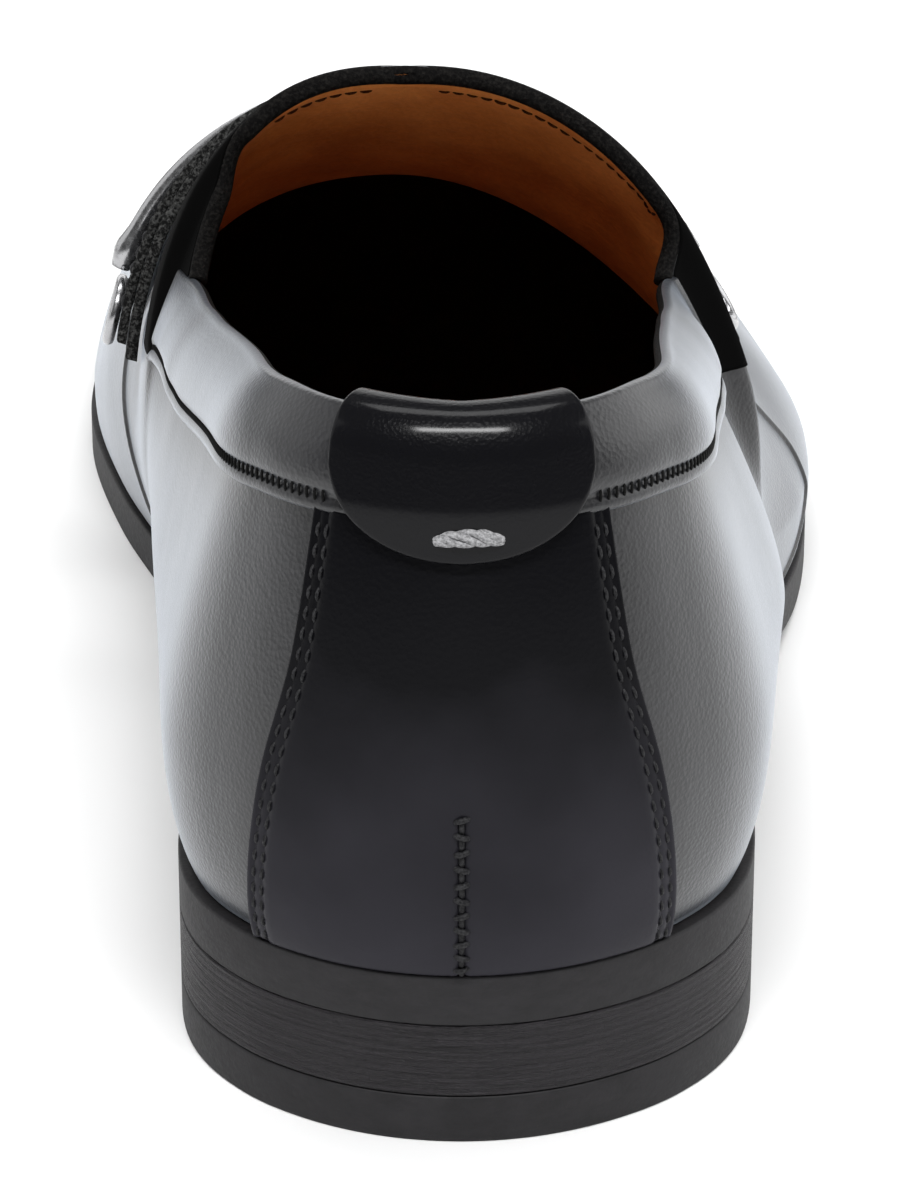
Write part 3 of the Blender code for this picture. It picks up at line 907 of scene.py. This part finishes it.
def build_collar_ticks():
    """Close row of short dark stitches across the groove over the collar's lower edge."""
    threads = Threads(0.00019, sides=5)
    for side in (-1, 1):
        below, above = [], []
        for u in spaced(0.9, COLLAR_ENDS[side > 0], 160):
            a = round(side * u, 6)
            low = top_height(a) - band_height(a)
            half = COLLAR_TICK / 2.0 * mix(1.0, 0.6, ease((u - 1.5) / 2.0))
            for places, d in ((below, COLLAR_ROW - half), (above, COLLAR_ROW + half)):
                places.append(place_on(a, level(a, low + d), collar_lift(a, d)))
        low_line, high_line = Route(below), Route(above)
        count = round(low_line.length / COLLAR_PITCH)
        for k in range(count):
            start, normal = low_line.at((k + 0.5) * low_line.length / count)
            end, _ = high_line.at((k + 0.4) * high_line.length / count)
            threads.stitch(start, end, normal.normalized(), -0.00004, -0.00025)
    # The ticks' near-black thread is partly black thread, partly painted shade in the groove.
    threads.piece("collar_stitches", "dark_thread")


def counter_half(t):
    """Half the counter's reach round the heel at the share t of its height, in metres."""
    return math.radians(through(PANEL_ROWS, t)) * HEEL_WIDTH / 2.0


def heel_place(x):
    """The place round the heel at the distance x from the middle of its back."""
    return math.degrees(x / (HEEL_WIDTH / 2.0)) / 30.0


def counter_level(a, t):
    low = HEEL_HEIGHT + OUTSOLE + 0.0006
    high = top_height(a) - band_height(a) + 0.001
    return level(a, mix(low, high, t))


def seam_depth(x, t):
    """How deep the back seam is drawn in at the distance x from the middle."""
    return 0.0005 * trough(x, 0.0004) * ease((BACK_SEAM_TOP - t) / 0.02)


def build_counter():
    """Back counter with two sewn rows down each side and a short back seam."""
    near = [0.0, 0.00008, 0.0002, 0.0004, 0.0007, 0.0009]
    for row in COUNTER_ROWS:
        near += [row - 0.0001, row, row + 0.0001, row + 0.0003]
    near += [0.0031, 0.0037]
    middle = [-0.0016, -0.0008, -0.0005, -0.0003, -0.00015, 0.0, 0.00015, 0.0003, 0.0005, 0.0008, 0.0016]
    grid = []
    for t in [0.0, 0.002, 0.006, 0.012] + spaced(0.02, 1.0, 84):
        half = counter_half(t)
        inner = half - near[-1]
        xs = [-(half - d) for d in near]
        xs += [mix(-inner, middle[0], k / 16) for k in range(1, 16)]
        xs += middle
        xs += [mix(middle[-1], inner, k / 16) for k in range(1, 16)]
        xs += [half - d for d in reversed(near)]
        pairs = []
        for x in xs:
            a = heel_place(x)
            v = counter_level(a, t)
            d = half - abs(x)
            lift = COUNTER_UNDER + LEATHER * rounded(d, 0.0004) * mix(0.4, 1.0, rounded(t, 0.012))
            for row in COUNTER_ROWS:
                lift -= GROOVE * trough(d - row, 0.00035)
            lift -= seam_depth(x, t)
            pairs.append((off_face(a, v, lift), off_face(a, v, 0.0003)))
        grid.append(pairs)
    closed_sheet("counter_leather", grid, "counter", replaces="back_counter")
    threads = Threads(0.00021)
    for side in (-1, 1):
        for row in COUNTER_ROWS:
            places = []
            for t in spaced(0.004, 0.97, 60):
                a = round(heel_place(side * (counter_half(t) - row)), 6)
                places.append(place_on(a, counter_level(a, t), COUNTER_UNDER + LEATHER - GROOVE))
            Route(places).sew(threads, STITCH_PITCH, 0.74, 0.00022, -0.0004)
    threads.piece("counter_stitches", "black_thread")
    build_back_seam()


def build_back_seam():
    """Cross stitches over the short seam at the middle of the back."""
    threads = Threads(0.00036)
    places = []
    for t in spaced(0.004, BACK_SEAM_TOP, 30):
        places.append(place_on(0.0, counter_level(0.0, t), COUNTER_UNDER + LEATHER))
    line = Route(places)
    count = round(line.length / BACK_SEAM_PITCH)
    reach = Vector((0.0009, 0.0, 0.0))
    for k in range(count):
        point, normal = line.at((k + 0.7) * line.length / count)
        slant = UP * 0.00025 * (-1.0) ** k
        threads.stitch(point - reach - slant, point + reach + slant, normal, 0.00012, -0.0004)
        ahead, _ = line.at((k - 0.25) * line.length / count)
        threads.stitch(point, ahead, normal, -0.00025, -0.0006)
    threads.piece("back_seam_stitches", "black_thread")


def tab_foot(c):
    """Height of the tab's round lower edge, at the share c of its half width."""
    top = top_height(0.0)
    return top - TAB_DROP + TAB_ROUND * (1.0 - max(0.0, 1.0 - abs(c) ** 2.3) ** 0.5)


def tab_lift(z):
    """How far the tab's back stands off the last at the height z."""
    return mix(TAB_LOW_LIFT, TAB_LIFT, ease((z - tab_foot(0.0)) / TAB_STEP))


def build_tab():
    """Heel tab folded over the collar, round at its end, with a bar of thread."""
    half = TAB_WIDTH / 2.0
    grid = []
    for k in range(65):
        c = math.sin(math.pi / 2.0 * (k / 32.0 - 1.0))
        a = heel_place(c * half)
        foot = tab_foot(c)
        rim = top_height(a)
        slope = abs(tab_foot(min(abs(c) + 0.01, 1.0)) - tab_foot(abs(c) - 0.01)) / (0.02 * half)
        lean = 1.0 / math.hypot(1.0, slope)
        pairs = []
        for s in [0.0, 0.004, 0.012, 0.025, 0.045, 0.07, 0.1] + spaced(0.14, 1.0, 22):
            z = mix(foot, rim, s)
            d = min((z - foot) * lean, (1.0 - abs(c)) * half)
            base = tab_lift(z) - TAB_LEAN[1] * max(0.0, 1.0 - (rim - z) / TAB_LEAN[0]) ** 2
            lift = base + TAB_THICK * rounded(d, 0.0006)
            pairs.append((off_face(a, level(a, z), lift), off_face(a, level(a, z), base)))
        point, out = place_on(a, level(a, rim), 0.0)
        rise = (UP - out * out.z).normalized()
        skirt = rounded((1.0 - abs(c)) * half, 0.0006)
        inner = -(WALL + 0.0006)
        for k_turn in range(1, 12):
            turn = mix(TAB_TURN, math.pi, k_turn / 12.0)
            share = (1.0 + math.cos(turn)) / (1.0 + math.cos(TAB_TURN))
            climb = math.sin(turn) - math.sin(TAB_TURN) * share
            pair = []
            for thick in (TAB_THICK * skirt, 0.0):
                reach = mix(inner - thick * 0.7, TAB_LIFT - TAB_LEAN[1] + thick, share)
                pair.append(point + out * reach + rise * (COLLAR_OVER + thick) * 1.5 * climb)
            pairs.append(pair)
        for drop in (0.002, 0.004, 0.006, 0.0075, 0.0085):
            v = level(a, rim - drop)
            pairs.append((off_face(a, v, inner - TAB_THICK * 0.7 * skirt), off_face(a, v, inner)))
        grid.append(pairs)
    closed_sheet("tab_leather", grid, "tab", replaces="heel_tab")
    build_tab_thread()


def build_tab_thread():
    """Bar of twisted silver thread near the tab's lower edge."""
    threads = Threads(0.00042, sides=8)
    middle, half, z = TAB_BAR
    for strand in range(4):
        path, across = [], []
        for k in range(25):
            t = k / 24.0
            x = middle + half * (2.0 * t - 1.0)
            a = round(heel_place(x), 6)
            swell = math.sin(math.pi * t) ** 0.6
            turn = 2.0 * math.pi * (strand / 4.0 + 1.1 * t)
            bow = 0.0006 * (1.0 - (2.0 * t - 1.0) ** 2)
            height = z + bow + 0.00062 * swell * math.cos(turn)
            lift = tab_lift(z) + TAB_THICK - 0.0003 + 0.0006 * swell + 0.0003 * swell * math.sin(turn)
            point, normal = place_on(a, level(a, height), lift)
            path.append(point)
            across.append(normal)
        threads.add(path, across)
    threads.piece("tab_thread", "silver_thread")


def build_painted_shades():
    """Black sheet of painted shade on each side between the collar's end and the strap, up to the tongue's
    edge.
    """
    for side, name in ((-1, "inner"), (1, "outer")):
        grid = []
        for u in spaced(THROAT[0] + 0.1, THROAT[1] - 0.02, 40):
            a = round(side * u, 6)
            start = level(a, STRAP_LOW[side > 0] + PAINTED_SHADE_OVER)
            vs = spaced(start, topline(a) - 0.004, 24)
            grid.append([(off_face(a, v, PAINTED_SHADE_LIFT), off_face(a, v, 0.00003)) for v in vs])
        closed_sheet("facing_" + name, grid, "painted_shade")


def build_lining_row():
    """Row of stitches in the lining, close under the tongue's edge."""
    threads = Threads(0.00022, sides=5)
    for side, first in ((-1, 6.72), (1, 6.42)):
        places = []
        for u in spaced(first, 6.96, 60):
            v = round(topline(side * u), 6)
            span = (inner_point(side * (u + 0.02), v) - inner_point(side * u, v)).length / 0.02
            a = round(side * (u + LINING_ROW / span), 6)
            places.append((inner_point(a, v), -face_normal(a, v)))
        Route(places).sew(threads, 0.8 * STITCH_PITCH, 0.86, 0.0001, -0.0002)
    threads.piece("lining_stitches", "lining_thread")


def build_tongue_edge():
    """Raw edge of the tongue, from notch to notch over the instep."""
    sides = 14
    way = spaced(THROAT[0] + 0.05, THROAT[1], 60)
    rows = [place_on(a, topline(a), 0.0) for a in [-u for u in way] + way[-2::-1]]
    rings = []
    for i, (point, out) in enumerate(rows):
        run = (rows[min(i + 1, len(rows) - 1)][0] - rows[max(i - 1, 0)][0]).normalized()
        back = out.cross(run).normalized()
        if back.y > 0.0:
            back = -back
        centre = point - out * (WALL / 2.0 - 0.0001) + back * 0.0002
        ring = []
        for k in range(sides):
            turn = 2.0 * math.pi * k / sides
            wide = TONGUE_EDGE[0] * math.copysign(abs(math.cos(turn)) ** 0.8, math.cos(turn))
            ring.append(centre + out * wide + back * TONGUE_EDGE[1] * math.sin(turn))
        rings.append(ring)
    verts, faces = [], []
    lay(verts, faces, rings)
    piece("tongue_edge", verts, faces, "edge_dark")


# The strap and the bit.

def over_instep(a, trim, s):
    """Place at the share s of the strap's way over the instep, from the inner side."""
    start = level(-a, STRAP_LOW[0] + trim)
    end = 4.0 - level(a, STRAP_LOW[1] + trim)
    v = mix(start, end, s)
    place, v = (-a, v) if v < 2.0 else (a, 4.0 - v)
    return round(place, 6), round(v, 6)


def crest_normal(a, v):
    """Normal that turns smoothly over the crown from one side to the other."""
    if v < 1.9:
        return face_normal(a, v)
    other = face_normal(-a, v)
    share = ease((v - 1.9) / 0.1) / 2.0
    return face_normal(a, v).lerp(other, share).normalized()


def strap_sheet(name, base, thick, trim, replaces):
    cross = [0.0, 0.00002, 0.00012, 0.0003, 0.0006, 0.0012, 0.003]
    width = STRAP_WIDTH - 2.0 * trim
    ys = cross + spaced(0.0042, width - 0.0042, 8) + [width - d for d in reversed(cross)]
    ends = [0.0, 0.0015, 0.004, 0.01]
    ss = ends + spaced(0.018, 0.982, 90) + [1.0 - s for s in reversed(ends)]
    grid = []
    for y in ys:
        a = round(rib_at(STRAP_REAR + trim + y), 6)
        d_side = min(y, width - y)
        pairs = []
        for s in ss:
            place, v = over_instep(a, trim, s)
            point, normal = face_point(place, v), crest_normal(place, v)
            d = min(d_side, min(s, 1.0 - s) * 0.11)
            pairs.append((point + normal * (base + thick * rounded(d, 0.0003)), point + normal * base))
        grid.append(pairs)
    closed_sheet(name, grid, "strap edge", edge_rows=4, replaces=replaces)


def build_strap():
    strap_sheet("strap_under", VAMP_STEP + 0.0001, STRAP_UNDER, 0.0, "strap_base")
    strap_sheet("strap_over", VAMP_STEP + STRAP_UNDER + 0.0002, STRAP_OVER, STRAP_TRIM, "strap_top")
    threads = Threads(0.0003)
    face = VAMP_STEP + STRAP_UNDER + STRAP_OVER + 0.0002
    for y in (STRAP_TRIM + 0.002, STRAP_WIDTH - STRAP_TRIM - 0.002):
        a = round(rib_at(STRAP_REAR + y), 6)
        places = []
        for s in spaced(0.04, 0.96, 90):
            place, v = over_instep(a, STRAP_TRIM, s)
            normal = crest_normal(place, v)
            places.append((face_point(place, v) + normal * face, normal))
        Route(places).sew(threads, STITCH_PITCH, 0.82, 0.0001, -0.0004)
    threads.piece("strap_stitches", "black_thread")


def build_bit():
    """Bar and two rings, cast in one piece."""
    face = VAMP_STEP + STRAP_UNDER + STRAP_OVER + 0.0006
    a = round(rib_at(STRAP_REAR + STRAP_WIDTH / 2.0), 6)
    verts, faces = [], []
    tops = []
    for side in (-1, 1):
        v = round(level(side * a, RING_MIDDLE), 6)
        out = face_normal(side * a, v)
        centre = face_point(side * a, v) + out * (face + RING_WIRE - 0.0003)
        up = ALONG_Y.cross(out).normalized()
        up = up if up.z > 0.0 else -up
        rows = []
        for k in range(64):
            turn = 2.0 * math.pi * k / 64
            way = up * math.cos(turn) + ALONG_Y * math.sin(turn)
            row = []
            for j in range(12):
                roll = 2.0 * math.pi * j / 12
                reach = way * math.cos(roll) + out * math.sin(roll)
                row.append(centre + way * RING_RADIUS + reach * RING_WIRE)
            rows.append(row)
        lay(verts, faces, rows, closed=True)
        tops.append(level(side * a, (centre + up * RING_RADIUS).z))
    path, across = [], []
    for v in spaced(tops[0], 4.0 - tops[1], 70):
        place, v = (-a, v) if v < 2.0 else (a, 4.0 - v)
        normal = crest_normal(place, round(v, 6))
        path.append(face_point(place, v) + normal * (face + WIRE + 0.0003))
        across.append(ALONG_Y)
    radii = []
    for i in range(len(path)):
        t = abs(2.0 * i / (len(path) - 1) - 1.0)
        bead = trough(t, 0.07) * 0.0009 + trough(t - 0.93, 0.05) * 0.0006
        radii.append(WIRE * 1.05 + bead)
    lay(verts, faces, tube_rows(path, across, radii, 14))
    piece("bit_metal", verts, faces, "metal", replaces="bit", slot="bit")


# The sole and heel.

def both_edges(places, inset):
    return [[edge_point(u, side, inset) for u in places] for side in (1, -1)]


def sole_loop(places, inset, height):
    outer, inner = both_edges(places, inset)
    plan = outer + inner[-2:0:-1]
    return [Vector((x, y, height(y))) for x, y in plan]


def ribbed_solid(name, places, levels, skin, **words):
    """Solid of level loops round the whole foot, closed above and below."""
    verts = []
    for inset, height in levels:
        verts += sole_loop(places, inset, height)
    count = len(verts) // len(levels)
    faces = grid_faces(len(levels), count, wrap_cols=True)
    last = len(places) - 1
    for base in (0, (len(levels) - 1) * count):
        faces.append((base, base + 1, base + count - 1))
        for i in range(1, last - 1):
            faces.append((base + i, base + i + 1, base + count - i - 1, base + count - i))
        faces.append((base + last - 1, base + last, base + last + 1))
    piece(name, verts, faces, skin, **words)


def heel_solid(name, levels, skin, **words):
    """One layer of the heel, from its back to the hollow breast."""
    places = [k / 14 for k in range(14 * 3)] + spaced(3.0, BREAST_ROW, 16)
    breast = along_to_y(SPINE[BREAST_ROW].seat)
    loops = []
    for inset, z in levels:
        outer, inner = both_edges(places, inset)
        plan = list(outer)
        for k in range(1, 24):
            t = k / 24.0
            x = mix(outer[-1][0], inner[-1][0], t)
            plan.append((x, breast - inset - BREAST_HOLLOW * 4.0 * t * (1.0 - t)))
        plan += inner[:0:-1]
        loops.append([Vector((x, y, z)) for x, y in plan])
    verts, faces = [], []
    lay(verts, faces, loops)
    piece(name, verts, faces, skin, **words)


def edged(low, high, inset, radius):
    """Levels of a side face whose edges are rounded."""
    rows = []
    for k in range(5):
        turn = math.pi / 2.0 * k / 4.0
        rows.append((inset + radius * (1.0 - math.sin(turn)), low + radius * (1.0 - math.cos(turn))))
    return rows + [(d, high - (z - low)) for d, z in reversed(rows)]


def lifted(z, y):
    return underside(y) + z


def build_sole():
    places = foot_places()
    levels = [(0.006, underside), (0.003, underside)]
    for inset, z in edged(0.0, OUTSOLE, 0.0, EDGE_ROUND):
        levels.append((inset, functools.partial(lifted, z)))
    levels += [(0.0018, topside), (0.004, topside)]
    ribbed_solid("sole_edge", places, levels, "sole", replaces="outsole", slot="outsole")
    rows = []
    for k in range(HEEL_LINES):
        low = TOP_LIFT + HEEL_STACK * k / HEEL_LINES
        high = TOP_LIFT + HEEL_STACK * (k + 1) / HEEL_LINES
        dip = EDGE_ROUND if k == 0 else 0.00007
        rows += [(dip, low + 0.00002), (0.00002, mix(low, high, 0.25)), (0.0, mix(low, high, 0.7))]
    rows.append((EDGE_ROUND, HEEL_HEIGHT - 0.00002))
    heel_solid("heel_layers", rows, "stack", replaces="heel_stack", slot="heel_stack")
    rows = edged(0.0, TOP_LIFT, 0.0, EDGE_ROUND)
    heel_solid("heel_lift", rows, "sole", replaces="top_lift", slot="top_lift")
    inset = SEAT_INSET + WALL + VAMP_STEP + 0.0006
    rows = [(inset + 0.0006, lambda y: topside(y) + 0.0005), (inset, lambda y: topside(y) + 0.0012)]
    rows += [(inset, lambda y: topside(y) + 0.0028), (inset + 0.0008, lambda y: topside(y) + 0.0034)]
    rows += [(inset + 0.006, lambda y: topside(y) + 0.0030)]
    ribbed_solid("sock", places, rows, "sock", replaces="insole", slot="insole")


# Stage, light and camera.

def build_stage():
    mesh = bpy.data.meshes.new("floor")
    corners = ((-1, -1), (1, -1), (1, 1), (-1, 1))
    mesh.from_pydata([(x * FLOOR_HALF, y * FLOOR_HALF, 0.0) for x, y in corners], [], [(0, 1, 2, 3)])
    floor = bpy.data.objects.new("floor", mesh)
    bpy.context.scene.collection.objects.link(floor)
    mesh.materials.append(Skin("pale_floor", (0.93, 0.93, 0.93), 0.9).material)


def area_light(name, place, target, size, watts):
    light = bpy.data.lights.new(name, "AREA")
    light.shape = "RECTANGLE"
    light.size, light.size_y = size
    light.energy = watts
    obj = bpy.data.objects.new(name, light)
    obj.location = place
    obj.rotation_euler = (Vector(target) - Vector(place)).to_track_quat("-Z", "Y").to_euler()
    bpy.context.scene.collection.objects.link(obj)


def build_light():
    """Soft boxes left, right, ahead and above, and one strip behind for the tab's shine."""
    aim = (0.0, 0.08, 0.04)
    area_light("left_box", (-1.25, 0.45, 0.62), aim, (1.7, 1.1), 5.5)
    area_light("right_box", (1.25, 0.45, 0.62), aim, (1.7, 1.1), 11.5)
    area_light("top_box", (0.0, 0.35, 1.5), aim, (1.2, 0.4), 8.0)
    area_light("far_box", (0.0, 2.0, 0.8), aim, (2.4, 1.3), 15.0)
    area_light("back_strip", (0.0, -0.8, 1.42), aim, (1.3, 0.14), 27.0)
    world = bpy.data.worlds.new("studio")
    world.use_nodes = True
    sky = world.node_tree.nodes["Background"].inputs
    sky["Color"].default_value = (1.0, 1.0, 1.0, 1.0)
    sky["Strength"].default_value = 0.12
    bpy.context.scene.world = world
    bpy.context.scene.view_settings.view_transform = "Standard"


def build_camera():
    lens = bpy.data.cameras.new("camera")
    lens.lens = CAMERA_LENS
    lens.sensor_width = 36.0
    lens.clip_start = 0.02
    camera = bpy.data.objects.new("camera", lens)
    camera.location = CAMERA_PLACE
    camera.rotation_euler = Euler((math.radians(90.0 - CAMERA_DOWN), 0.0, 0.0))
    bpy.context.scene.collection.objects.link(camera)
    bpy.context.scene.camera = camera


SKINS = make_skins()
build_camera()
build_light()
build_stage()
build_upper()
build_collar()
build_counter()
build_tab()
build_tongue_edge()
build_painted_shades()
build_lining_row()
build_strap()
build_bit()
build_sole()
